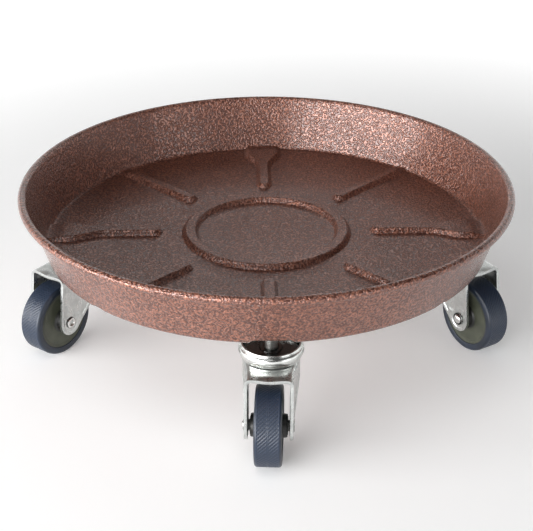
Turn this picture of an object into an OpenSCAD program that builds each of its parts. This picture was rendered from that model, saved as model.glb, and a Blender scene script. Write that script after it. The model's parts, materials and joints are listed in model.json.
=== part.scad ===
// Plant pot caddy: a pressed steel dish that carries a flower pot on four
// swivel casters. The origin is on the ground under the centre of the dish,
// +Z is up and -Y is the side of the front caster.

/* [Dish] */
// Outer radius of the rolled rim
rim_r = 165; // [150:1:190]
// Height of the dish floor's top face above the ground
floor_z = 78.2; // [78:0.2:90]
// Height of the top of the rolled rim above the dish floor
rim_rise = 38.1; // [30:0.1:50]
// Angle of the dish wall from the vertical
wall_tilt = 17.8; // [10:0.1:22]
// Radius of the bend between floor and wall, on the inside
corner_r = 4; // [3:0.5:6]
// Thickness of the dish sheet
sheet = 1; // [0.8:0.1:1.2]
// Diameter of the rolled bead along the rim
roll_d = 5.5; // [5:0.1:7]

/* [Pressed beads in the dish floor] */
// Height of the beads above the floor
bead_h = 3.5; // [3:0.1:4]
// Width of a straight bead at its foot
bead_foot = 11; // [10:0.5:12]
// Width of the flat top of a straight bead
bead_top = 6.4; // [5:0.1:7]
// Middle radius of the ring bead at the centre
ring_r = 52; // [45:1:58]
// Distance from the dish axis to the inner end of a radial bead
rib_start = 70.6; // [66:0.2:76]
// Distance from the dish axis at which the beads over the casters flare
flare_start = 117.5; // [114:0.5:122]
// Distance over which they reach their full width
flare_len = 12; // [10:1:16]
// Half of the width that the flare adds
flare_half = 6.4; // [5.6:0.1:7]

/* [Casters] */
// Distance from the dish axis to each swivel axis
caster_r = 129.3; // [125:0.1:132]
// Distance from the swivel axis to the axle
trail = 26; // [24:0.5:28]
// Wheel diameter over the tyre
wheel_d = 50; // [49:0.5:51]
// Tyre width
wheel_w = 16.6; // [15:0.1:18]
// Radius of the joint between tyre and wheel core
core_r = 20; // [18:0.5:21]
// Radius of the wheel hub at its ends
hub_r = 7; // [6.8:0.1:8]
// Height of the fork crown's top face above the ground
crown_z = 59.3; // [58.5:0.1:60]
// Thickness of the fork sheet
fork_t = 2; // [1.6:0.1:2.2]
// Half width of the fork crown
crown_half = 17.4; // [17:0.1:17.6]
// Distance over which the fork narrows ahead of the swivel axis
taper_len = 17; // [15:0.5:18]
// Angle at which each fork side closes in
taper_angle = 8.7; // [8:0.1:9.4]
// Diameter of the threaded stem, which is also the kingpin
stem_d = 8; // [8:0.1:8.2]
// Running clearance of the bearings, on the radius
clearance = 0.05; // [0.02:0.01:0.1]

/* [Hidden] */
// Each caster: name, place round the dish and direction of the wheel from the swivel axis
CASTERS = [
    ["front", -90, -94],
    ["right", 0, -58],
    ["back", 90, 86],
    ["left", 180, -128]
];
CASTER_PARTS = [
    "weld_nut", "stem", "race_cup", "race_balls", "fork", "lower_race",
    "axle_rivet", "axle_sleeve", "wheel_core", "tyre", "hub_caps"
];

// Dish
rim_top = floor_z + rim_rise;
roll_r = roll_d / 2;
roll_x = rim_r - roll_r;
roll_z = rim_top - roll_r;
roll_start = 180 - wall_tilt;
roll_stop = 232;
wall_top_r = roll_x + roll_r * cos(roll_start);
wall_rise = rim_rise - roll_r + roll_r * sin(roll_start);
wall_foot_r = wall_top_r - wall_rise * tan(wall_tilt);
corner_x = wall_foot_r - corner_r * tan((90 - wall_tilt) / 2);
under_z = floor_z - sheet;
seam_angle = 22.5;
bead_slope = (bead_foot - bead_top) / 2;
end_middle = rib_start + bead_foot / 2;
end_step = 30;
flare_angle = atan(flare_half / flare_len);

// Wheel
axle_z = wheel_d / 2;
shoulder_r = 1.6;
tyre_side = 0.5;
core_half = wheel_w / 2 - tyre_side - 0.1;
disc_half = core_half - 0.5;
disc_r = core_r - 1.6;
hub_half = 11.1;
hub_foot_r = hub_r + 1.2;
hub_edge = 0.5;
cap_r = 6.2;
cap_t = 1.1;
cap_proud = 0.3;

// Axle
shank_r = 2.5;
sleeve_r = 3.4;
rivet_head_r = 4.4;
rivet_head_h = 2;
flare_ring_r = 4;
flare_ring_h = 0.9;
rivet_hollow_r = 1.9;
rivet_hollow_depth = 4;

// Fork
bend_r = 4;
crown_front = 30.8;
tip_r = 8.75;
rear_slope = 48.5;
crown_back = 15;
crown_back_r = 18;
leg_half = crown_half - taper_len * tan(taper_angle);
skirt_z = crown_z - bend_r;
lip_w = 19.6;
lip_h = 0.8;

// Swivel head
stem_r = stem_d / 2;
nut_flats = 13;
nut_h = 7.5;
nut_thread_gap = 0.05;
pocket_z = under_z + bead_h;
ball_r = 1.4;
ball_ring_r = 11.5;
ball_count = 16;
groove_depth = 0.2;
ball_z = crown_z + ball_r - groove_depth;
ball_gap = 0.4;
cup_t = 1.1;
web_z = ball_z + ball_r + ball_gap;
skirt_x = 17.6;
skirt_r = 2.5;
skirt_low_z = crown_z + 0.4;
skirt_mid_z = web_z + cup_t - skirt_r;
bowl_x = 14.4;
bowl_r = 3.5;
bowl_mid_z = crown_z + 6;
bowl_lip_z = crown_z + 8.8;
race_gap = 0.3;
lower_race_r = 11;
lower_race_t = 1.8;
lower_race_top = crown_z - fork_t - race_gap;
pin_head_r = 6.5;
pin_head_h = 2;

// The point at angle a on a circle
function polar(x, y, r, a) = [x + r * cos(a), y + r * sin(a)];

// Points along an arc, from angle a0 to angle a1 in n steps
function arc(x, y, r, a0, a1, n = 8) =
    [for (i = [0:n]) polar(x, y, r, a0 + (a1 - a0) * i / n)];

// Puts a caster's sub-part at its place, with +X towards the wheel
module at_caster(c) {
    translate([caster_r * cos(c[1]), caster_r * sin(c[1]), 0])
        rotate([0, 0, c[2]])
            children();
}

// Puts a shape that is turned about Z on the axle, which runs along Y
module at_axle() {
    translate([trail, 0, axle_z])
        rotate([90, 0, 0])
            children();
}

// One face of the dish sheet in section, drop mm in from the top face: floor, ring bead and wall
function dish_face(drop) =
    let (
        z = floor_z - drop,
        ring_half = bead_foot / 2 - drop,
        ring_flat = bead_top / 2 - drop * 0.6
    )
    concat(
        [
            [0, z],
            [ring_r - ring_half, z],
            [ring_r - ring_flat, z + bead_h],
            [ring_r + ring_flat, z + bead_h],
            [ring_r + ring_half, z]
        ],
        arc(corner_x, floor_z + corner_r, corner_r + drop, -90, -wall_tilt),
        [polar(roll_x, roll_z, roll_r - drop, roll_start)]
    );

// Points in the opposite order
function reversed(points) = [for (i = [len(points) - 1:-1:0]) points[i]];

// Section of the pressed sheet from the dish axis to the start of the rolled rim
module dish_section() {
    polygon(concat(dish_face(0), reversed(dish_face(sheet))));
}

// Section of the rolled rim: the sheet curls outwards and down, and stops short of the wall
module rim_section() {
    far = 2 * roll_r;
    translate([roll_x, roll_z])
        difference() {
            circle(r = roll_r, $fn = 96);
            circle(r = roll_r - sheet, $fn = 96);
            polygon(concat([[0, 0]], arc(0, 0, far, roll_start, roll_stop, 3)));
        }
}

// A block whose one face leans in by slope over the height h: all that lies behind the line
// in plan that faces angle a and is dist away from the point at x
module behind(x, a, dist, slope, h) {
    far = 60;
    translate([x, 0, 0])
        rotate([0, 0, a])
            translate([dist, far, 0])
                rotate([90, 0, 0])
                    linear_extrude(2 * far)
                        polygon([[-far, 0], [0, 0], [-slope, h], [-far, h]]);
}

// A straight radial bead, half as wide as half at its foot, with a round inner end
module straight_bead(half, slope, h) {
    translate([end_middle, 0, 0])
        intersection_for (a = [90:end_step:270])
            behind(0, a, half, slope, h);
}

// The flare of a bead over a caster: it widens, and then runs on to the wall
module bead_flare(half, slope, h) {
    intersection_for (side = [-1, 1])
        intersection() {
            behind(flare_start, side * (90 + flare_angle), half, slope, h);
            behind(flare_start, side * 90, half + flare_half, slope, h);
        }
}

// All the radial beads, half as wide as half at the foot, as blocks from z0 up by h
module radial_beads(half, slope, z0, h) {
    for (a = [0:45:315])
        rotate([0, 0, a])
            translate([0, 0, z0]) {
                straight_bead(half, slope, h);
                if (a % 90 == 0)
                    bead_flare(half, slope, h);
            }
}

// The space inside the wall, which bounds the beads; reach is how far it goes into the sheet
module inside_wall(reach) {
    depth = 5;
    height = 12;
    rotate([0, 0, seam_angle])
        rotate_extrude($fn = 128)
            polygon([
                [0, floor_z - depth],
                [wall_foot_r + reach - depth * tan(wall_tilt), floor_z - depth],
                [wall_foot_r + reach + height * tan(wall_tilt), floor_z + height],
                [0, floor_z + height]
            ]);
}

// Dish: one pressed sheet with a rolled rim
module dish() {
    color("sienna")
        difference() {
            union() {
                rotate([0, 0, seam_angle])
                    rotate_extrude($fn = 128) {
                        dish_section();
                        rim_section();
                    }
                intersection() {
                    radial_beads(bead_foot / 2, bead_slope, floor_z - sheet / 2, bead_h + sheet / 2);
                    inside_wall(sheet / 2);
                }
            }
            intersection() {
                radial_beads(bead_foot / 2 - sheet, bead_slope, under_z - 1, bead_h + 1);
                inside_wall(-sheet / 4);
            }
        }
}

// Weld nut: sits in the hollow under a flared bead and takes the stem
module weld_nut() {
    color("silver")
        translate([0, 0, pocket_z - nut_h])
            difference() {
                cylinder(h = nut_h, d = nut_flats / cos(30), $fn = 6);
                translate([0, 0, -1])
                    cylinder(h = nut_h + 2, r = stem_r + nut_thread_gap, $fn = 64);
            }
}

// Stem: threaded stud above the race cup, kingpin through the fork, peened head below
module stem() {
    head_z = lower_race_top - lower_race_t;
    color("lightslategray")
        rotate_extrude($fn = 64)
            polygon([
                [0, head_z - pin_head_h],
                [pin_head_r - 1.6, head_z - pin_head_h],
                [pin_head_r, head_z - 0.6],
                [pin_head_r, head_z],
                [stem_r, head_z],
                [stem_r, pocket_z - 1.2],
                [stem_r - 0.8, pocket_z - 0.4],
                [0, pocket_z - 0.4]
            ]);
}

// The space under the race cup's web, which runs on into its skirt
module race_space() {
    polygon([
        [0, crown_z - 1],
        [0, web_z],
        [skirt_x - 1.2, web_z],
        [skirt_x, web_z - 0.4],
        [skirt_x, crown_z - 1]
    ]);
    translate([skirt_x, skirt_mid_z])
        circle(r = skirt_r - cup_t, $fn = 64);
}

// The open space of the race cup's bowl, above its web
module bowl_space() {
    floor = web_z + cup_t;
    translate([0, floor])
        square([bowl_x, 8]);
    intersection() {
        translate([bowl_x, bowl_mid_z])
            circle(r = bowl_r - cup_t, $fn = 64);
        translate([0, floor])
            square([bowl_x + bowl_r, 8]);
    }
}

// Race cup: bulging open bowl fixed on the stem, and a wider skirt that covers the ball race
module race_cup() {
    color("gainsboro")
        rotate_extrude($fn = 128)
            difference() {
                union() {
                    translate([stem_r, web_z])
                        square([bowl_x - stem_r, cup_t]);
                    translate([bowl_x, bowl_mid_z])
                        circle(r = bowl_r, $fn = 96);
                    translate([skirt_x, skirt_mid_z])
                        circle(r = skirt_r, $fn = 96);
                }
                race_space();
                bowl_space();
                translate([0, bowl_lip_z])
                    square([skirt_x, bowl_r]);
                translate([0, skirt_low_z - skirt_r])
                    square([skirt_x + skirt_r + 1, skirt_r]);
            }
}

// Race balls: one ring between the fork crown and the race cup
module race_balls() {
    color("silver")
        for (i = [0:ball_count - 1])
            rotate([0, 0, i * 360 / ball_count])
                translate([ball_ring_r, 0, ball_z])
                    sphere(r = ball_r, $fn = 32);
}

// Half of the fork's bent section: crown plate, bend and one leg, to a half width w
module fork_half_section(w) {
    low = axle_z - tip_r - 1;
    polygon(concat(
        [[-crown_half, crown_z - fork_t], [-crown_half, crown_z]],
        arc(w - bend_r, skirt_z, bend_r, 90, 0, 6),
        [[w, low], [w - fork_t, low]],
        arc(w - bend_r, skirt_z, bend_r - fork_t, 0, 90, 6)
    ));
}

// A straight stretch of the half section along +X, from x0 to x1
module fork_stretch(w, x0, x1) {
    translate([x0, 0, 0])
        rotate([90, 0, 90])
            linear_extrude(x1 - x0)
                fork_half_section(w);
}

// All that lies ahead of (side = 1) or behind (side = -1) the mitre between two stretches
module beyond_mitre(side) {
    far = 80;
    translate([taper_len, leg_half, 0])
        rotate([0, 0, -taper_angle / 2])
            translate([side > 0 ? 0 : -far, -far, 0])
                cube([far, 2 * far, crown_z + 1]);
}

// One half of the bent sheet before its outline is cut: it closes in, then runs straight
module fork_blank_half() {
    far = 80;
    intersection() {
        union() {
            intersection() {
                rotate([0, 0, -taper_angle])
                    fork_stretch(crown_half * cos(taper_angle), -crown_half - 2, 2 * taper_len);
                beyond_mitre(-1);
            }
            intersection() {
                fork_stretch(leg_half, 0, trail + tip_r);
                beyond_mitre(1);
            }
        }
        translate([-far, 0, 0])
            cube([2 * far, far, crown_z + 1]);
    }
}

// Plan outline of the fork: round at the back
module fork_plan() {
    translate([crown_back_r - crown_back, 0])
        circle(r = crown_back_r, $fn = 96);
    translate([0, -crown_half - 2])
        square([trail + tip_r, 2 * crown_half + 4]);
}

// Side outline of the fork: crown, slanted rear edge and round tip about the axle
module fork_outline() {
    tip_x = trail - tip_r * sin(rear_slope);
    tip_z = axle_z - tip_r * cos(rear_slope);
    rear_x = tip_x - (skirt_z - tip_z) / tan(rear_slope);
    translate([trail, axle_z])
        circle(r = tip_r, $fn = 64);
    polygon([
        [tip_x, tip_z],
        [trail, axle_z],
        [trail + tip_r, axle_z],
        [crown_front, skirt_z],
        [crown_front, crown_z + 1],
        [-crown_back - 1, crown_z + 1],
        [-crown_back - 1, skirt_z],
        [rear_x, skirt_z]
    ]);
}

// Fork: bent zinc-plated sheet with a kingpin bore, an axle bore and a lip at the crown's front
module fork() {
    color("lightgray")
        difference() {
            union() {
                intersection() {
                    union() {
                        fork_blank_half();
                        mirror([0, 1, 0]) fork_blank_half();
                    }
                    linear_extrude(crown_z + 1)
                        fork_plan();
                    rotate([90, 0, 0])
                        translate([0, 0, -crown_half - 2])
                            linear_extrude(2 * crown_half + 4)
                                fork_outline();
                }
                translate([crown_front - fork_t, -lip_w / 2, crown_z - fork_t - lip_h])
                    cube([fork_t, lip_w, lip_h + fork_t / 2]);
            }
            translate([0, 0, crown_z - fork_t - 1])
                cylinder(h = fork_t + 2, r = stem_r + clearance, $fn = 64);
            at_axle()
                translate([0, 0, -leg_half - 1])
                    cylinder(h = 2 * leg_half + 2, r = shank_r, $fn = 64);
            rotate_extrude($fn = 128)
                translate([ball_ring_r, ball_z])
                    circle(r = ball_r, $fn = 64);
        }
}

// Lower race: washer that the peened stem holds up under the fork crown
module lower_race() {
    color("silver")
        translate([0, 0, lower_race_top - lower_race_t])
            difference() {
                cylinder(h = lower_race_t, r = lower_race_r, $fn = 64);
                translate([0, 0, -1])
                    cylinder(h = lower_race_t + 2, r = stem_r, $fn = 64);
            }
}

// Axle rivet: domed head on one leg, and a hollow end flared over the other
module axle_rivet() {
    dome_r = (pow(rivet_head_r, 2) + pow(rivet_head_h, 2)) / (2 * rivet_head_h);
    end_z = leg_half + flare_ring_h;
    color("gainsboro")
        at_axle()
            rotate_extrude($fn = 64)
                polygon(concat(
                    arc(0, leg_half + rivet_head_h - dome_r, dome_r, 90, 90 - asin(rivet_head_r / dome_r), 8),
                    [
                        [shank_r, leg_half],
                        [shank_r, -leg_half],
                        [flare_ring_r, -leg_half],
                        [flare_ring_r - 0.5, -end_z],
                        [rivet_hollow_r + 0.4, -end_z],
                        [rivet_hollow_r, -leg_half],
                        [rivet_hollow_r, -leg_half + rivet_hollow_depth],
                        [0, -leg_half + rivet_hollow_depth]
                    ]
                ));
}

// Axle sleeve: tube on the rivet that keeps the legs apart and carries the wheel
module axle_sleeve() {
    sleeve_half = leg_half - fork_t;
    color("dimgray")
        at_axle()
            translate([0, 0, -sleeve_half])
                difference() {
                    cylinder(h = 2 * sleeve_half, r = sleeve_r, $fn = 64);
                    translate([0, 0, -1])
                        cylinder(h = 2 * sleeve_half + 2, r = shank_r, $fn = 64);
                }
}

// Wheel core: moulded disc and hub, with a recess in each hub end for its cap
module wheel_core() {
    bore_r = sleeve_r + clearance;
    cap_floor = hub_half + cap_proud - cap_t;
    half = [
        [bore_r, cap_floor],
        [cap_r, cap_floor],
        [cap_r, hub_half],
        [hub_r - hub_edge, hub_half],
        [hub_r, hub_half - hub_edge],
        [hub_foot_r, disc_half],
        [disc_r, disc_half],
        [disc_r + 0.6, core_half],
        [core_r, core_half]
    ];
    color("darkslategray")
        at_axle()
            rotate_extrude($fn = 128)
                polygon(concat(
                    half,
                    [for (p = reversed(half)) [p[0], -p[1]]]
                ));
}

// Tyre: rubber ring moulded on the core
module tyre() {
    half_w = wheel_w / 2;
    r = wheel_d / 2;
    color("slategray")
        at_axle()
            rotate_extrude($fn = 128)
                polygon(concat(
                    [[core_r, -half_w + tyre_side]],
                    arc(r - shoulder_r, -half_w + shoulder_r, shoulder_r, -90, 0),
                    arc(r - shoulder_r, half_w - shoulder_r, shoulder_r, 0, 90),
                    [[core_r, half_w - tyre_side]]
                ));
}

// Hub caps: a pair of metal washers in the hub's ends
module hub_caps() {
    color("silver")
        at_axle()
            for (s = [-1, 1])
                translate([0, 0, s * (hub_half + cap_proud - cap_t / 2) - cap_t / 2])
                    difference() {
                        cylinder(h = cap_t, r = cap_r, $fn = 64);
                        translate([0, 0, -1])
                            cylinder(h = cap_t + 2, r = sleeve_r + 0.4, $fn = 64);
                    }
}

dish();
for (c = CASTERS) {
    at_caster(c) weld_nut();
    at_caster(c) stem();
    at_caster(c) race_cup();
    at_caster(c) race_balls();
    at_caster(c) fork();
    at_caster(c) lower_race();
    at_caster(c) axle_rivet();
    at_caster(c) axle_sleeve();
    at_caster(c) wheel_core();
    at_caster(c) tyre();
    at_caster(c) hub_caps();
}
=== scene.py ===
"""Plant pot caddy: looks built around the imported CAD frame.

Lengths are in millimetres inside the shape functions and become metres when a mesh is made.
"""
import json
import math

import bmesh
import bpy
import numpy as np
from mathutils import Matrix, Vector


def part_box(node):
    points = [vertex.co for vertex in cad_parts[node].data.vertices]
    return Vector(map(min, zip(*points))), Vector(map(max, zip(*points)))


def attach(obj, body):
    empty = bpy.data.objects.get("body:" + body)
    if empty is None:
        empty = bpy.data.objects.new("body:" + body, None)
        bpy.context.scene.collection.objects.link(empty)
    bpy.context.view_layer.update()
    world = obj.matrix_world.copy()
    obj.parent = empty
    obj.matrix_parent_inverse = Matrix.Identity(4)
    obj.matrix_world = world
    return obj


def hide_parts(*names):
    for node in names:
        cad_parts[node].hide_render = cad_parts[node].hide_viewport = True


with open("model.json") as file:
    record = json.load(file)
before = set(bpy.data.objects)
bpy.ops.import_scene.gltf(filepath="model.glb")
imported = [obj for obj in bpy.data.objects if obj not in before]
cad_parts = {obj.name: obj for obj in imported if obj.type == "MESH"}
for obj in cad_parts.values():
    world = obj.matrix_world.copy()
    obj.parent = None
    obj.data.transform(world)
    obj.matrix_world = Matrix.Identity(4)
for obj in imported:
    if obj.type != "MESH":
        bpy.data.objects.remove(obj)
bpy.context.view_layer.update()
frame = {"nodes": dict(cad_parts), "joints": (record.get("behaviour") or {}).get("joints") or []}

MM = 0.001
CASTERS = ("front", "right", "back", "left")
JOINTS = {j["name"]: j for j in frame["joints"]}

# ---------------------------------------------------------------- sizes read from the frame

DISH_LOW, DISH_HIGH = (Vector(c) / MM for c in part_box("dish"))
RIM_R = DISH_HIGH.x
RIM_TOP = DISH_HIGH.z
SHEET = 1.0
FLOOR_Z = DISH_LOW.z + SHEET

# Dish section
WALL_TILT = math.radians(17.8)
CORNER_R = 2.4
ROLL_R = 2.75
ROLL_STOP = math.radians(232 - 360)
ROLL_X = RIM_R - ROLL_R
ROLL_Z = RIM_TOP - ROLL_R
ROLL_START = math.pi - WALL_TILT
WALL_TOP = (ROLL_X + ROLL_R * math.cos(ROLL_START), ROLL_Z + ROLL_R * math.sin(ROLL_START))
WALL_FOOT_R = WALL_TOP[0] - (WALL_TOP[1] - FLOOR_Z) * math.tan(WALL_TILT)
CORNER_X = WALL_FOOT_R - CORNER_R * math.tan((math.pi / 2 - WALL_TILT) / 2)

# Pressed beads
BEAD_H = 3.5
END_FILLET = 0.7
BEAD_FOOT = 6.0
BEAD_TOP = 2.6
RING_R = 52.0
RIB_START = 76.1
FLARE_START = 110.0
FLARE_END = 134.0
FLARE_HALF = 8.0
FLARE_LEVEL = 137.0

# Wheel and fork, in the caster's own frame: +X ahead to the axle, +Y along the axle, +Z up
TRAIL = 26.0
AXLE_Z = 25.0
CROWN_Z = 59.3
CROWN_HALF = 17.4
LEG_HALF = 14.8
FORK_T = 2.0
BEND_R = 4.0
CROWN_FRONT = 30.8
CROWN_BACK = 15.0
CROWN_BACK_R = 18.0
CROWN_BACK_MIDDLE = CROWN_BACK_R - CROWN_BACK
TIP_R = 8.75
REAR_SLOPE = math.radians(48.5)
TAPER_LEN = 17.0
RIVET_R = 2.5
SLEEVE_R = 3.4
CAP_R = 6.2
CAP_SEAT = 10.3
CORE_R = 20.0
GAP = 0.05

# Swivel head, in the same frame: the cup's wall is an arc of radius CUP_BULGE round a ring
STEM_R = 4.0
CUP_WALL_R = 16.0
CUP_WALL_Z = CROWN_Z + 4.2
CUP_BULGE = 4.1


# ---------------------------------------------------------------- mesh helpers

def new_piece(name, points, faces, material):
    """An object from points in millimetres, with smooth faces."""
    mesh = bpy.data.meshes.new(name)
    mesh.from_pydata((np.asarray(points, float) * MM).tolist(), [], faces)
    mesh.validate()
    mesh.polygons.foreach_set("use_smooth", [True] * len(mesh.polygons))
    mesh.materials.append(material)
    piece = bpy.data.objects.new(name, mesh)
    bpy.context.scene.collection.objects.link(piece)
    return piece


def clean(piece, distance=1e-7):
    """Merges doubled points and turns the faces outwards."""
    work = bmesh.new()
    work.from_mesh(piece.data)
    bmesh.ops.remove_doubles(work, verts=work.verts, dist=distance)
    bmesh.ops.dissolve_degenerate(work, edges=work.edges, dist=distance)
    bmesh.ops.recalc_face_normals(work, faces=work.faces)
    work.to_mesh(piece.data)
    work.free()


def grid_faces(rows, columns, close_rows=False, close_columns=False, first=0):
    """Quads of a grid of points stored row by row."""
    faces = []
    for i in range(rows if close_rows else rows - 1):
        i2 = (i + 1) % rows
        for j in range(columns if close_columns else columns - 1):
            j2 = (j + 1) % columns
            faces.append((first + i * columns + j, first + i * columns + j2,
                          first + i2 * columns + j2, first + i2 * columns + j))
    return faces


def rounded(outline, steps=5):
    """A closed outline of (r, z, fillet radius) with its corners rounded."""
    result = []
    count = len(outline)
    for i in range(count):
        x, y, fillet = outline[i]
        here = Vector((x, y))
        before = Vector(outline[i - 1][:2]) - here
        after = Vector(outline[(i + 1) % count][:2]) - here
        turn = before.angle(after)
        reach = fillet / math.tan(turn / 2) if fillet > 0 else 0.0
        reach = min(reach, 0.48 * before.length, 0.48 * after.length)
        if reach < 1e-4 or turn > math.radians(178):
            result.append(here)
            continue
        radius = reach * math.tan(turn / 2)
        inwards = (before.normalized() + after.normalized()).normalized()
        middle = here + inwards * (radius / math.sin(turn / 2))
        a = here + before.normalized() * reach - middle
        b = here + after.normalized() * reach - middle
        for k in range(steps + 1):
            result.append(middle + a.slerp(b, k / steps) * radius)
    return [(p.x, p.y) for p in result]


def ring(radius, angles, z):
    """One row of points about the Z axis; the radius and the height may vary with the angle."""
    return np.column_stack([radius * np.cos(angles), radius * np.sin(angles), z + 0 * angles])


def cut_hole(piece, radius, low, high):
    """Cuts a round hole about the Z axis through a piece, from low to high."""
    outline = [(0.0, low, 0), (radius, low, 0), (radius, high, 0), (0.0, high, 0)]
    cutter = lathe("cutter", outline, piece.data.materials[0], 64)
    cut = piece.modifiers.new("hole", "BOOLEAN")
    cut.operation = "DIFFERENCE"
    cut.solver = "EXACT"
    cut.object = cutter
    graph = bpy.context.evaluated_depsgraph_get()
    result = bpy.data.meshes.new_from_object(piece.evaluated_get(graph))
    piece.modifiers.remove(cut)
    piece.data = result
    bpy.data.objects.remove(cutter)


def lathe(name, outline, material, segments=96, steps=5):
    """A closed outline turned about Z; a point on the axis has r = 0."""
    profile = rounded(outline, steps)
    angles = np.linspace(0, 2 * math.pi, segments, endpoint=False)
    points = [(r * math.cos(a), r * math.sin(a), z) for r, z in profile for a in angles]
    piece = new_piece(name, points, grid_faces(len(profile), segments, True, True), material)
    clean(piece)
    return piece


def on_axle(piece):
    """Turns a shape made about Z so that its Z runs along the axle, and moves it there."""
    turn = Matrix.Translation(Vector((TRAIL, 0, AXLE_Z)) * MM) @ Matrix.Rotation(math.radians(90), 4, "X")
    piece.data.transform(turn)
    return piece


def caster_matrix(name):
    """The caster's own frame: swivel axis at the origin, +X towards the axle."""
    swivel = Vector(JOINTS[f"swivel_{name}_turn"]["pos_m"])
    axle = Vector(JOINTS[f"wheel_{name}_roll"]["pos_m"])
    heading = math.atan2(axle.y - swivel.y, axle.x - swivel.x)
    return Matrix.Translation((swivel.x, swivel.y, 0)) @ Matrix.Rotation(heading, 4, "Z")


# ---------------------------------------------------------------- material helpers

class Nodes:
    """A material's node tree, with short calls to add and join its nodes."""

    def __init__(self, name):
        self.material = bpy.data.materials.new(name)
        self.material.use_nodes = True
        self.tree = self.material.node_tree
        self.shader = self.tree.nodes["Principled BSDF"]

    def add(self, kind, values=None, **settings):
        node = self.tree.nodes.new(kind)
        for key, value in settings.items():
            setattr(node, key, value)
        for key, value in (values or {}).items():
            if isinstance(value, bpy.types.NodeSocket):
                self.tree.links.new(value, node.inputs[key])
            else:
                node.inputs[key].default_value = value
        return node

    def set(self, **values):
        """Sets the shader's own sockets; a socket as a value is linked."""
        for key, value in values.items():
            socket = self.shader.inputs[key.replace("_", " ")]
            if isinstance(value, bpy.types.NodeSocket):
                self.tree.links.new(value, socket)
            else:
                socket.default_value = value

    def place(self):
        return self.add("ShaderNodeTexCoord").outputs["Object"]

    def noise(self, vector, scale, detail=3.0, roughness=0.5):
        node = self.add("ShaderNodeTexNoise", {"Vector": vector, "Scale": scale, "Detail": detail,
                                               "Roughness": roughness})
        return node.outputs["Fac"]

    def math(self, operation, a, b=0.0):
        return self.add("ShaderNodeMath", {0: a, 1: b}, operation=operation).outputs[0]

    def range(self, value, low, high, to_low=0.0, to_high=1.0):
        node = self.add("ShaderNodeMapRange", {"Value": value, "From Min": low, "From Max": high,
                                               "To Min": to_low, "To Max": to_high},
                        interpolation_type="SMOOTHSTEP")
        return node.outputs["Result"]

    def mix(self, factor, a, b):
        node = self.add("ShaderNodeMix", data_type="RGBA")
        for index, value in ((0, factor), (6, a), (7, b)):
            if isinstance(value, bpy.types.NodeSocket):
                self.tree.links.new(value, node.inputs[index])
            else:
                node.inputs[index].default_value = value
        return node.outputs[2]

    def reach(self, place, plane, middle=(0.0, 0.0)):
        """Distance in metres from an axis through the middle, in the plane of two object axes."""
        axes = self.add("ShaderNodeSeparateXYZ", {0: place})
        squares = []
        for axis, centre in zip(plane, middle):
            off = self.math("SUBTRACT", axes.outputs[axis], centre)
            squares.append(self.math("MULTIPLY", off, off))
        return self.math("SQRT", self.math("ADD", *squares))

    def bump(self, height, distance, strength):
        values = {"Height": height, "Distance": distance, "Strength": strength}
        return self.add("ShaderNodeBump", values).outputs["Normal"]


def srgb(r, g, b):
    """A colour given in 0 to 255 as a linear RGBA value."""
    def linear(c):
        c /= 255
        return c / 12.92 if c <= 0.04045 else ((c + 0.055) / 1.055) ** 2.4

    return (linear(r), linear(g), linear(b), 1.0)


# ---------------------------------------------------------------- materials

def hammered_paint():
    """Copper-brown hammered enamel: glossy pillows about 1.5 mm across between dark winding veins."""
    n = Nodes("hammered_copper_enamel")
    place = n.place()
    pillow = n.range(n.noise(place, 720.0, 1.0, 0.5), 0.37, 0.63)
    patch = n.noise(place, 520.0, 2.0)
    broad = n.noise(place, 22.0, 3.0)
    fine = n.noise(place, 2600.0, 2.0)
    body = n.mix(n.range(patch, 0.35, 0.65), srgb(128, 77, 59), srgb(164, 107, 85))
    shaded = n.mix(pillow, srgb(90, 51, 40), body)
    worn = n.mix(n.range(broad, 0.35, 0.75, 0.0, 0.22), shaded, srgb(74, 43, 34))
    n.set(Base_Color=worn, Metallic=0.58)
    n.set(Roughness=n.range(n.math("ADD", patch, fine), 0.7, 1.3, 0.32, 0.46))
    n.set(Coat_Weight=1.0, Coat_Roughness=0.12, Coat_IOR=1.52)
    height = n.math("ADD", n.math("MULTIPLY", fine, 0.05), n.math("MULTIPLY", pillow, 1.0))
    n.set(Normal=n.bump(height, 0.00036, 1.0), Coat_Normal=n.bump(height, 0.00036, 0.7))
    return n.material


def zinc(name, tint, rough_low, rough_high, shade=None):
    """Zinc plate: faint spangle and handling marks with a fine grain.

    shade(nodes, place), where given, tells where the plate gets painted shade and how dark each spot is.
    """
    n = Nodes(name)
    place = n.place()
    mottle = n.noise(place, 150.0, 4.0, 0.6)
    grain = n.noise(place, 1900.0, 3.0)
    rubbed = n.noise(place, 620.0, 5.0, 0.7)
    dull = tuple(c * 0.80 for c in tint[:3]) + (1.0,)
    plate = n.mix(n.range(mottle, 0.35, 0.7), tint, dull)
    if shade:
        # painted shade: the plate goes near black where shade says
        plate = n.mix(shade(n, place), plate, (0.03, 0.03, 0.03, 1.0))
    n.set(Base_Color=plate, Metallic=1.0)
    n.set(Roughness=n.range(n.math("ADD", mottle, n.math("MULTIPLY", rubbed, 0.4)), 0.4, 1.0,
                            rough_low, rough_high))
    n.set(Normal=n.bump(n.math("ADD", grain, rubbed), 0.000008, 0.4))
    return n.material


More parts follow.
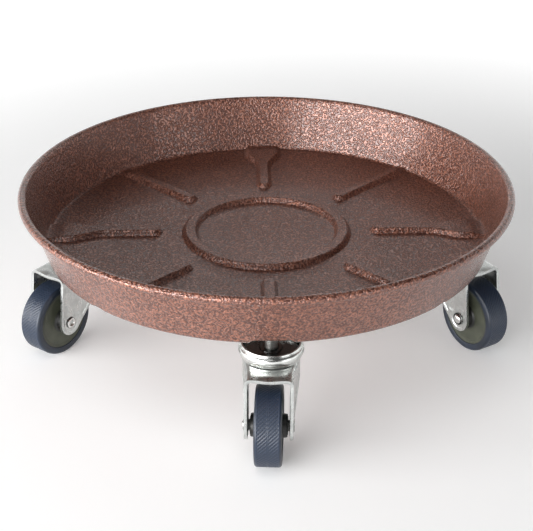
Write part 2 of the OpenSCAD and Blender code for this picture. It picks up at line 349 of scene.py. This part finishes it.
def painted_bowl_shade(n, place):
    """Painted shade in the bowl of the race cup, on its floor and on the inside of its bulging wall."""
    axes = n.add("ShaderNodeSeparateXYZ", {0: place})
    reach = n.reach(place, (0, 1))
    out = n.math("SUBTRACT", reach, CUP_WALL_R * MM)
    up = n.math("SUBTRACT", axes.outputs[2], CUP_WALL_Z * MM)
    depth = n.math("SQRT", n.math("ADD", n.math("MULTIPLY", out, out), n.math("MULTIPLY", up, up)))
    inner = n.math("MAXIMUM", n.range(depth, 0.0038, 0.0034), n.range(reach, 0.0170, 0.0166))
    above = n.range(axes.outputs[2], (CROWN_Z + 3.6) * MM, (CROWN_Z + 4.0) * MM)
    return n.math("MULTIPLY", n.math("MULTIPLY", inner, 0.85), above)


def painted_rivet_shade(n, place):
    """Painted shade: a dark ring in the gap between the rivet's dome and its collar, and a dark edge round
    the flared end.
    """
    axes = n.add("ShaderNodeSeparateXYZ", {0: place})
    reach = n.reach(place, (0, 2), (TRAIL * MM, AXLE_Z * MM))
    gap = n.math("MULTIPLY", n.range(reach, 0.0030, 0.0033), n.range(reach, 0.0044, 0.0042))
    edge = n.math("MULTIPLY", n.range(reach, 0.0034, 0.0037), 0.85)
    dome_side = n.math("LESS_THAN", axes.outputs[1], 0.0)
    other_side = n.math("SUBTRACT", 1.0, dome_side)
    return n.math("ADD", n.math("MULTIPLY", gap, dome_side), n.math("MULTIPLY", edge, other_side))


def moulded_rubber():
    """Slate blue tyre rubber; the tread's ridge tops carry a painted highlight, lighter than the grooves.
    """
    n = Nodes("slate_blue_rubber")
    place = n.place()
    cloud = n.noise(place, 90.0, 4.0, 0.6)
    grain = n.noise(place, 3200.0, 2.0)
    base = n.mix(n.range(cloud, 0.3, 0.75), srgb(19, 28, 41), srgb(27, 38, 55))
    # painted highlight: the outermost ridge tops of the tread turn a lighter blue than the grooves and the
    # sides
    tread = n.range(n.reach(place, (0, 2), (TRAIL * MM, AXLE_Z * MM)), 0.02470, 0.02498)
    base = n.mix(tread, base, srgb(29, 41, 60))
    n.set(Base_Color=base, Metallic=0.0)
    n.set(Roughness=n.range(cloud, 0.3, 0.8, 0.36, 0.5))
    n.set(Specular_IOR_Level=0.6)
    n.set(Normal=n.bump(grain, 0.00004, 0.5))
    return n.material


def moulded_plastic(name, low, high, hub_shade_colour, rough):
    """Moulded wheel plastic with flow marks and a fine spark-eroded grain; the hub round the axle is
    painted near black as painted shade.
    """
    n = Nodes(name)
    place = n.place()
    flow = n.noise(place, 120.0, 3.0, 0.55)
    grain = n.noise(place, 2400.0, 3.0)
    disc = n.mix(n.range(flow, 0.3, 0.7), low, high)
    outside = n.range(n.reach(place, (0, 2), (TRAIL * MM, AXLE_Z * MM)), 0.0080, 0.0095)
    # painted shade: within about 8 mm of the axle the disc takes the near-black hub colour
    n.set(Base_Color=n.mix(outside, hub_shade_colour, disc), Metallic=0.0)
    n.set(Roughness=n.range(n.math("ADD", flow, n.math("MULTIPLY", grain, 0.4)), 0.4, 1.0,
                            rough - 0.06, rough + 0.1))
    n.set(Normal=n.bump(grain, 0.00005, 0.5))
    return n.material


# ---------------------------------------------------------------- dish

def smooth(x):
    """Smooth step from 0 to 1."""
    x = np.clip(x, 0.0, 1.0)
    return x * x * (3 - 2 * x)


def bead_share(r, angle):
    """How far up its bead each floor point stands, from 0 on the floor to 1 on a bead's top."""
    def step(distance):
        return smooth((BEAD_FOOT - distance) / (BEAD_FOOT - BEAD_TOP))

    round_bead = step(np.abs(r - RING_R))
    sector = math.pi / 4
    nearest = np.round(angle / sector)
    off = angle - nearest * sector
    x, y = r * np.cos(off), np.abs(r * np.sin(off))
    flared = np.where(nearest.astype(int) % 2 == 0, 1.0, 0.0)
    half = FLARE_HALF * flared * smooth((x - FLARE_START) / (FLARE_END - FLARE_START))
    across = np.maximum(y - half, 0.0)
    along = np.maximum(RIB_START - x, 0.0)
    settle = 1.0 - (0.7 - 0.25 * flared) * smooth((x - FLARE_LEVEL) / (CORNER_X - FLARE_LEVEL))
    rib = step(np.hypot(across, along)) * settle
    return np.maximum(round_bead, rib)


def dish_angles():
    """Angles round the dish, close together where a radial bead runs."""
    dense = math.radians(6.6)
    half = math.radians(22.5)
    one = np.concatenate([np.linspace(-half, -dense, 9)[:-1], np.linspace(-dense, dense, 45),
                          np.linspace(dense, half, 9)[1:-1]])
    return np.concatenate([one + k * math.pi / 4 for k in range(8)])


def dish_face(angles, drop):
    """Rows of points on one face of the dish sheet, from the axis to the end of the rolled rim."""
    def stretch(a, b, step):
        return np.linspace(a, b, max(2, int(round((b - a) / step)) + 1))[:-1]

    radii = np.concatenate([
        [0.0], stretch(4, 44, 5.0), stretch(44, 60, 0.55), stretch(60, 68, 2.5), stretch(68, 82, 0.6),
        stretch(82, 110, 3.2), stretch(110, CORNER_X, 1.0)])
    edge = bead_share(np.full_like(angles, CORNER_X), angles) * BEAD_H
    arc_rise = CORNER_R * (1 - math.sin(WALL_TILT))
    foot_rise = np.maximum(arc_rise, edge + END_FILLET)
    rows = []
    for r in radii:
        lift = bead_share(np.full_like(angles, r), angles) * BEAD_H
        sag = 0.12 * np.cos(3 * angles + 1.0) * (r / CORNER_X) ** 2 * (1 - r / CORNER_X) * 4
        rows.append((np.full_like(angles, r), np.full_like(angles, FLOOR_Z - drop) + lift + sag))
    reach = CORNER_R + drop
    for a in np.linspace(-math.pi / 2, -WALL_TILT, 10)[1:]:
        rise = (CORNER_R * (1 + math.sin(a))) / arc_rise
        extra = (foot_rise - arc_rise) * rise
        rows.append((CORNER_X + reach * math.cos(a) + extra * math.tan(WALL_TILT),
                     FLOOR_Z + CORNER_R + reach * math.sin(a) + edge * (1 - rise) + extra))
    foot_r, foot_z = rows[-1]
    top_r = ROLL_X + (ROLL_R - drop) * math.cos(ROLL_START)
    top_z = ROLL_Z + (ROLL_R - drop) * math.sin(ROLL_START)
    for t in np.linspace(0, 1, 14)[1:]:
        wave = 0.10 * math.sin(math.pi * t) * np.sin(5 * angles + 0.7)
        rows.append((foot_r + (top_r - foot_r) * t + wave, foot_z + (top_z - foot_z) * t))
    for a in np.linspace(ROLL_START, ROLL_STOP, 25)[1:]:
        rows.append((ROLL_X + (ROLL_R - drop) * math.cos(a) + 0 * angles,
                     ROLL_Z + (ROLL_R - drop) * math.sin(a) + 0 * angles))
    return [ring(r, angles, z) for r, z in rows]


def make_dish(paint):
    """The dish as one closed sheet: upper face, rolled edge and underside."""
    angles = dish_angles()
    top = dish_face(angles, 0.0)
    under = dish_face(angles, SHEET)
    rows = top + under[::-1]
    points = np.vstack(rows)
    dish = new_piece("dish_shell", points, grid_faces(len(rows), len(angles), True, True), paint)
    clean(dish)
    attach(dish, "carrier")
    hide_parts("dish")


# ---------------------------------------------------------------- swivel head

def make_race_cup(material):
    """Open bowl whose bulging wall comes down round the ball race; a flat web holds it on the stem."""
    web_low, web_high, thick = CROWN_Z + 3.0, CROWN_Z + 4.1, 1.1

    def arc(radius, start, stop, count):
        turns = np.radians(np.linspace(start, stop, count))
        return [(CUP_WALL_R + radius * math.cos(t), CUP_WALL_Z + radius * math.sin(t), 0) for t in turns]

    outline = [(STEM_R, web_low, 0.1), (15.6, web_low, 0.9), (17.5, CROWN_Z + 1.4, 0.5),
               (17.7, CROWN_Z + 0.4, 0.1), (18.9, CROWN_Z + 0.4, 0.4), (18.9, CROWN_Z + 1.0, 0.3)]
    outline += arc(CUP_BULGE, -44, 46, 18)
    outline += [(18.2, CROWN_Z + 8.8, 0.45), (17.2, CROWN_Z + 8.8, 0.45)]
    outline += arc(CUP_BULGE - thick, 42, 4, 8)
    outline += [(CUP_WALL_R + CUP_BULGE - thick, web_high, 0.5), (STEM_R + 3.0, web_high, 0.3),
                (STEM_R + 2.8, web_high + 0.9, 0.4), (STEM_R + 0.2, web_high + 0.9, 0.2),
                (STEM_R, web_high + 0.6, 0.1)]
    return lathe("race_cup", outline, material, 128, 4)


def make_lower_race(material):
    """Thick washer under the crown with a rounded lower edge."""
    high = CROWN_Z - FORK_T - 0.3
    low = high - 1.8
    outline = [(STEM_R, low, 0.2), (9.2, low, 1.0), (11.0, low + 0.9, 0.5), (11.0, high, 0.25),
               (8.6, high, 0.6), (STEM_R, high, 0.2)]
    return lathe("lower_race", outline, material, 96)


def make_stem(material):
    """Peened head, kingpin and a stud with a rolled metric thread."""
    thread_low, thread_high, pitch, depth = CROWN_Z + 5.2, 80.3, 1.25, 0.62
    race_low = CROWN_Z - FORK_T - 2.1
    segments, per_turn = 40, 8
    angles = np.linspace(0, 2 * math.pi, segments, endpoint=False)
    plain = rounded([(0.0, race_low - 2.0, 0), (4.2, race_low - 2.0, 0.8), (6.5, race_low - 0.8, 0.8),
                     (6.5, race_low, 0.2), (STEM_R, race_low, 0), (STEM_R, thread_low - 0.2, 0)])[:-1]
    rows = [ring(r, angles, z) for r, z in plain]
    count = int((thread_high - thread_low) / pitch * per_turn)
    for k in range(count + 1):
        z = thread_low + (thread_high - thread_low) * k / count
        turn = (z / pitch - angles / (2 * math.pi)) % 1.0
        groove = np.clip(1.35 * (1 - np.abs(2 * turn - 1)) - 0.15, 0, 1) * depth
        fade = min(1.0, (z - thread_low) / pitch, (thread_high - z) / 0.8 + 0.35)
        r = STEM_R - groove * max(fade, 0.0) - 0.7 * max(0.0, 1 - (thread_high - z) / 0.7)
        rows.append(ring(r, angles, z))
    rows.append(ring(0.0, angles, thread_high))
    stem = new_piece("stem", np.vstack(rows), grid_faces(len(rows), segments, False, True), material)
    clean(stem)
    return stem


def make_weld_nut(material):
    """Hex nut with chamfered corners and a bore that opens at both ends."""
    low, high, flats, bore = 73.2, 80.7, 13.0, STEM_R + GAP
    segments = 144
    angles = np.linspace(0, 2 * math.pi, segments, endpoint=False)
    hexagon = flats / 2 / np.cos((angles % (math.pi / 3)) - math.pi / 6)
    hexagon = np.minimum(hexagon, flats / 2 / math.cos(math.pi / 6) - 0.25)
    chamfer = np.maximum(hexagon - flats / 2 * 0.985, 0) * math.tan(math.radians(32))
    section = [(bore, low + 0.6), (bore + 0.6, low), (flats / 2 * 0.97, low),
               (hexagon - 0.12, low + chamfer + 0.02), (hexagon, low + chamfer + 0.16),
               (hexagon, high - chamfer - 0.16), (hexagon - 0.12, high - chamfer - 0.02),
               (flats / 2 * 0.97, high), (bore + 0.6, high), (bore, high - 0.6)]
    rows = [ring(radius, angles, z) for radius, z in section]
    nut = new_piece("weld_nut", np.vstack(rows), grid_faces(len(rows), segments, True, True), material)
    clean(nut)
    nut.data.set_sharp_from_angle(angle=math.radians(28))
    return nut


# ---------------------------------------------------------------- fork

def fork_width(x):
    """Half width of the fork's outer face at x: it closes in and then runs straight."""
    slope = (CROWN_HALF - LEG_HALF) / TAPER_LEN
    soft = 3.0
    t = (TAPER_LEN - x) / soft
    eased = soft * np.where(t > 1, t, np.where(t < -1, 0.0, (t + 1) ** 2 / 4))
    return LEG_HALF + slope * eased


def fork_edges(depth):
    """Back and front edge of the sheet where the leg has run depth below the crown's bend."""
    z = CROWN_Z - BEND_R - depth
    tip_x = TRAIL - TIP_R * math.sin(REAR_SLOPE)
    tip_z = AXLE_Z - TIP_R * math.cos(REAR_SLOPE)
    inside = math.sqrt(max(TIP_R ** 2 - (z - AXLE_Z) ** 2, 0.0))
    back = tip_x - (z - tip_z) / math.tan(REAR_SLOPE) if z > tip_z else TRAIL - inside
    lean = math.atan2(TRAIL + TIP_R - CROWN_FRONT, CROWN_Z - BEND_R - AXLE_Z)
    front = CROWN_FRONT + depth * math.tan(lean) if z > AXLE_Z else TRAIL + inside
    return back, front


def fork_sheet_point(x, t, inset):
    """Maps the flat sheet (x along, t across from the middle line) to the bent fork; inset goes inwards."""
    w = fork_width(x)
    flat = w - BEND_R
    side = np.sign(t)
    t = np.abs(t)
    bend = np.clip((t - flat) / BEND_R, 0, math.pi / 2)
    radius = BEND_R - inset
    y = np.minimum(t, flat) + radius * np.sin(bend)
    z = CROWN_Z - BEND_R + radius * np.cos(bend) - np.maximum(t - flat - BEND_R * math.pi / 2, 0.0)
    return x, side * y, z


def make_fork(material):
    """Bent sheet with rounded edges, a coined border round each leg and a lip at the crown's front."""
    lip_half, lip_drop, lip_reach = 13.0, 0.8, 5.0
    border, ramp, press_depth = 1.5, 1.3, 0.45
    bend_run = BEND_R * math.pi / 2
    nominal = CROWN_HALF - BEND_R
    leg_run = CROWN_Z - BEND_R - (AXLE_Z - TIP_R)
    crown_rows = np.concatenate([np.linspace(0, 7.4, 5)[:-1], np.linspace(7.4, 11.4, 9)[:-1],
                                 np.linspace(11.4, nominal, 4)[:-1]])
    bend_rows = nominal + np.linspace(0, bend_run, 8)[:-1]
    falls = leg_run * np.concatenate([np.linspace(0, 0.62, 22)[:-1],
                                      0.62 + 0.38 * np.sin(np.linspace(0, math.pi / 2, 30))])
    columns = 56
    share = 0.5 - 0.5 * np.cos(np.linspace(0, math.pi, columns))
    share = 0.35 * share + 0.65 * np.linspace(0, 1, columns)

    def row(t, back, front, part, value):
        return back + (front - back) * share, np.full(columns, t), part, value

    half = []
    for t in crown_rows:
        lip = 0.5 + 0.5 * math.cos(math.pi * min(t / lip_half, 1.0))
        back = CROWN_BACK_MIDDLE - math.sqrt(max(CROWN_BACK_R ** 2 - t ** 2, 0))
        half.append(row(t, back, CROWN_FRONT, "crown", lip))
    for t in bend_rows:
        y = nominal + BEND_R * math.sin((t - nominal) / BEND_R)
        back_round = CROWN_BACK_MIDDLE - math.sqrt(max(CROWN_BACK_R ** 2 - y ** 2, 0))
        half.append(row(t, back_round, CROWN_FRONT, "bend", 0.0))
    for fall in falls:
        back, front = fork_edges(fall)
        back = max(back, CROWN_BACK_MIDDLE - math.sqrt(CROWN_BACK_R ** 2 - CROWN_HALF ** 2))
        half.append(row(nominal + bend_run + fall, back, front, "leg", fall))
    across = [(x, -t, part, value) for x, t, part, value in half[:0:-1]] + half

    def face(inset):
        rows = []
        for x, t, part, value in across:
            w = fork_width(x)
            shifted = np.sign(t) * np.where(np.abs(t) > nominal, np.abs(t) - nominal + (w - BEND_R),
                                            np.abs(t) * (w - BEND_R) / nominal)
            px, py, pz = fork_sheet_point(x, shifted, inset)
            if part == "leg":
                z = CROWN_Z - BEND_R - value
                back, front = x[0], x[-1]
                to_tip = TIP_R - (AXLE_Z - z) if z < AXLE_Z else math.inf
                edge = np.minimum(np.minimum(x - back, front - x) * 0.9, to_tip)
                about = np.hypot(x - TRAIL, z - AXLE_Z)
                edge = np.where(z < AXLE_Z + 4, np.minimum(edge, np.abs(TIP_R - about)), edge)
                fade = smooth((value - 1.0) / 6.0)
                py = py - np.sign(t) * press_depth * smooth((edge - border) / ramp) * fade
            if part == "crown" and value > 0:
                pz = pz - lip_drop * value * smooth((x - CROWN_FRONT + lip_reach) / lip_reach)
            rows.append(np.column_stack([px, py, pz]))
        return rows

    outer, inner = face(0.0), face(FORK_T)
    count = len(outer)
    points = np.vstack(outer + inner)
    size = count * columns
    faces = grid_faces(count, columns)
    faces += [tuple(size + i for i in f[::-1]) for f in grid_faces(count, columns)]
    loop = [i * columns for i in range(count)] + [(count - 1) * columns + j for j in range(1, columns)]
    loop += [i * columns + columns - 1 for i in range(count - 2, -1, -1)] + list(range(columns - 2, 0, -1))
    for a, b in zip(loop, loop[1:] + loop[:1]):
        faces.append((a, b, size + b, size + a))
    fork = new_piece("fork", points, faces, material)
    clean(fork, 2e-6)
    cut_hole(fork, STEM_R + GAP, CROWN_Z - 2 * FORK_T, CROWN_Z + FORK_T)
    bevel = fork.modifiers.new("soft_edges", "BEVEL")
    bevel.width = 0.35 * MM
    bevel.segments = 3
    bevel.limit_method = "ANGLE"
    bevel.angle_limit = math.radians(50)
    return fork


# ---------------------------------------------------------------- axle and wheel

def make_axle_rivet(material):
    """Domed head in a turned-down collar on one side; on the other a hollow end flared over the leg."""
    face = LEG_HALF
    dome = [(3.3 * math.cos(a), face + 0.25 + 1.75 * math.sin(a), 0)
            for a in np.linspace(0, math.pi / 2, 9)]
    outline = [(0.0, -face + 4.0, 0), (1.7, -face + 3.8, 0.4), (1.9, -face - 0.4, 0.4),
               (2.3, -face - 0.9, 0.3), (3.3, -face - 0.7, 0.4), (4.0, -face - 0.1, 0.2),
               (3.9, -face, 0.05), (RIVET_R, -face, 0.0), (RIVET_R, face, 0.0), (4.3, face, 0.1),
               (4.4, face + 0.35, 0.2), (3.9, face + 0.6, 0.2), (3.5, face + 0.25, 0.1)] + dome
    return on_axle(lathe("axle_rivet", outline, material, 72, 4))


def make_axle_sleeve(material):
    """Tube on the rivet that keeps the legs apart."""
    half = LEG_HALF - FORK_T
    outline = [(RIVET_R, -half, 0.1), (SLEEVE_R, -half, 0.2), (SLEEVE_R, half, 0.2), (RIVET_R, half, 0.1)]
    return on_axle(lathe("axle_sleeve", outline, material, 64))


def make_wheel_core(material):
    """Moulded disc with a slightly raised outer band and a hub that is recessed for the hub caps."""
    side = [(SLEEVE_R + GAP, CAP_SEAT, 0.1), (CAP_R, CAP_SEAT, 0.1), (CAP_R, 11.1, 0.1), (7.0, 11.1, 0.45),
            (7.4, 8.3, 0.5), (8.6, 7.25, 0.9), (17.8, 7.2, 0.8), (19.0, 7.5, 0.6), (CORE_R, 7.6, 0.1)]
    outline = side + [(r, -z, f) for r, z, f in side[::-1]]
    return on_axle(lathe("wheel_core", outline, material, 128, 3))


def make_hub_caps(material):
    """Two pressed washers, one in each end of the hub."""
    caps = []
    for side in (1, -1):
        outline = [(3.8, side * CAP_SEAT, 0.1), (3.8, side * 11.0, 0.25), (4.4, side * 11.4, 0.25),
                   (5.6, side * 11.4, 0.4), (CAP_R, side * 10.9, 0.3), (CAP_R, side * CAP_SEAT, 0.1)]
        caps.append(lathe("hub_caps", outline, material, 72, 4))
    bpy.ops.object.select_all(action="DESELECT")
    for cap in caps:
        cap.select_set(True)
    bpy.context.view_layer.objects.active = caps[0]
    bpy.ops.object.join()
    return on_axle(caps[0])


def make_tyre(material):
    """Rubber ring with a knurled tread in two bands, a parting line between them and round shoulders."""
    r_out, half_w = AXLE_Z, 8.3
    shoulder, groove, parting = 1.9, 0.25, 0.22
    tread_half, line_half = 6.4, 0.35
    segments = 900
    pitch_count = 66
    angles = np.linspace(0, 2 * math.pi, segments, endpoint=False)
    profile = [(CORE_R, 7.8), (CORE_R + 0.25, 8.05), (CORE_R + 0.9, 8.14), (CORE_R + 1.5, half_w),
               (r_out - shoulder - 0.6, half_w)]
    profile += [(r_out - shoulder + shoulder * math.sin(a), half_w - shoulder + shoulder * math.cos(a))
                for a in np.linspace(0, math.pi / 2, 8)]
    tread = [(r_out, y) for y in np.linspace(half_w - shoulder, 0, 27)[1:]]
    half = profile + tread
    outline = half + [(r, -y) for r, y in half[-2::-1]]
    rows = []
    for r, y in outline:
        radius = np.full(segments, r)
        if r >= r_out - 1e-6:
            band = smooth((abs(y) - line_half) / 0.3) * smooth((tread_half - abs(y)) / 0.4)
            along = y * pitch_count / r_out
            ribs = 0.5 - 0.5 * np.cos(angles * pitch_count + along)
            cross = 0.5 - 0.5 * np.cos(angles * pitch_count - along)
            depth = groove * band * (1 - np.maximum(ribs, 0.5 * cross))
            radius = radius - depth - parting * (1 - smooth(abs(y) / line_half))
        rows.append(ring(radius, angles, y))
    points = np.vstack(rows)
    tyre = new_piece("tyre", points, grid_faces(len(rows), segments, True, True), material)
    clean(tyre)
    return on_axle(tyre)


# ---------------------------------------------------------------- pieces in place

def place_copies(maker, part, body, material):
    """One copy of a caster's piece at each caster, riding on its body and standing for its CAD node."""
    first = maker(material)
    for name in CASTERS:
        piece = first if name == CASTERS[0] else first.copy()
        if name != CASTERS[0]:
            bpy.context.scene.collection.objects.link(piece)
        piece.name = f"{part}_{name}_piece"
        piece.matrix_world = caster_matrix(name)
        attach(piece, body.format(name))
        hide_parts(f"{part}_{name}")


def make_pieces():
    """Every piece with its material; the ball rings keep their CAD shape."""
    bright = zinc("bright_zinc", (0.66, 0.68, 0.665, 1.0), 0.22, 0.36)
    dull = zinc("dull_zinc", (0.50, 0.51, 0.50, 1.0), 0.34, 0.52)
    # the race cup's zinc gets painted shade inside its bowl
    cup = zinc("race_cup_zinc", (0.72, 0.73, 0.71, 1.0), 0.17, 0.28, painted_bowl_shade)
    nickel = zinc("ball_steel", (0.82, 0.82, 0.80, 1.0), 0.13, 0.26)
    # the rivet's zinc gets painted shade round its dome and its flared end
    rivet = zinc("rivet_zinc", (0.82, 0.82, 0.80, 1.0), 0.16, 0.30, painted_rivet_shade)
    stud = zinc("stem_zinc", (0.30, 0.30, 0.29, 1.0), 0.34, 0.52)
    dark = zinc("dark_steel", (0.10, 0.10, 0.10, 1.0), 0.35, 0.55)
    # the near-black third colour is painted shade on the wheel's hub
    core = moulded_plastic("olive_grey_plastic", srgb(58, 61, 50), srgb(72, 75, 62),
                           srgb(24, 24, 23), 0.42)
    rubber = moulded_rubber()
    make_dish(hammered_paint())
    place_copies(make_weld_nut, "weld_nut", "carrier", dull)
    place_copies(make_stem, "stem", "carrier", stud)
    place_copies(make_race_cup, "race_cup", "carrier", cup)
    place_copies(make_lower_race, "lower_race", "carrier", dull)
    place_copies(make_fork, "fork", "swivel_{}", bright)
    place_copies(make_axle_rivet, "axle_rivet", "swivel_{}", rivet)
    place_copies(make_axle_sleeve, "axle_sleeve", "swivel_{}", dark)
    place_copies(make_wheel_core, "wheel_core", "wheel_{}", core)
    place_copies(make_hub_caps, "hub_caps", "wheel_{}", dull)
    place_copies(make_tyre, "tyre", "wheel_{}", rubber)
    for name in CASTERS:
        balls = frame["nodes"][f"race_balls_{name}"]
        balls.data.materials.clear()
        balls.data.materials.append(nickel)


# ---------------------------------------------------------------- studio

def make_studio():
    """Pale floor that turns up far off and glows a little away from the caddy, and soft lights."""
    profile = [(1, 0), (9000, 0), (10500, 250), (11500, 1000), (12000, 2000), (12100, 3200)]
    angles = np.linspace(0, 2 * math.pi, 96, endpoint=False)
    points = [(r * math.cos(a), r * math.sin(a), z) for r, z in profile for a in angles]
    n = Nodes("pale_floor")
    n.set(Base_Color=(0.90, 0.90, 0.90, 1.0), Roughness=0.8)
    glow_start, glow_end, glow_near, glow_far = 0.28, 1.0, 0.19, 0.85
    glow = n.range(n.reach(n.place(), (0, 1)), glow_start, glow_end, glow_near, glow_far)
    n.set(Emission_Color=(1.0, 1.0, 1.0, 1.0), Emission_Strength=glow)
    floor = new_piece("floor", points, grid_faces(len(profile), len(angles), False, True), n.material)

    world = bpy.data.worlds.new("studio")
    world.use_nodes = True
    background = world.node_tree.nodes["Background"]
    background.inputs["Color"].default_value = (1.0, 1.0, 1.0, 1.0)
    background.inputs["Strength"].default_value = 0.06
    bpy.context.scene.world = world

    def soft_light(name, place, aim, width, height, power):
        """A rectangular light of this size in metres and power in watts, turned towards its aim."""
        light = bpy.data.lights.new(name, "AREA")
        light.shape = "RECTANGLE"
        light.size, light.size_y = width, height
        light.energy = power
        lamp = bpy.data.objects.new(name, light)
        lamp.location = place
        lamp.rotation_euler = (Vector(aim) - Vector(place)).to_track_quat("-Z", "Y").to_euler()
        bpy.context.scene.collection.objects.link(lamp)

    soft_light("key", (-1.35, -1.05, 0.45), (0, 0, 0.08), 2.4, 0.8, 60)
    soft_light("backdrop", (0.1, 2.4, 1.6), (0, 0, 0.08), 2.8, 1.4, 9)
    soft_light("top", (-0.4, -0.9, 1.8), (0, 0, 0.06), 1.3, 1.1, 10)
    soft_light("fill", (1.3, -1.2, 0.5), (0, 0, 0.1), 0.9, 0.7, 3)


def make_camera():
    """The camera, in front of the caddy and above it."""
    camera = bpy.data.cameras.new("camera")
    camera.lens = 89.0
    camera.sensor_width = 36.0
    camera.clip_start = 0.05
    place = Vector((-0.0177, -0.8108, 0.473))
    aim = Vector((0.0, 0.0, 0.052))
    seen = bpy.data.objects.new("camera", camera)
    seen.location = place
    seen.rotation_euler = (aim - place).to_track_quat("-Z", "Y").to_euler()
    bpy.context.scene.collection.objects.link(seen)
    bpy.context.scene.camera = seen
    bpy.context.scene.view_settings.view_transform = "Standard"


make_pieces()
make_studio()
make_camera()
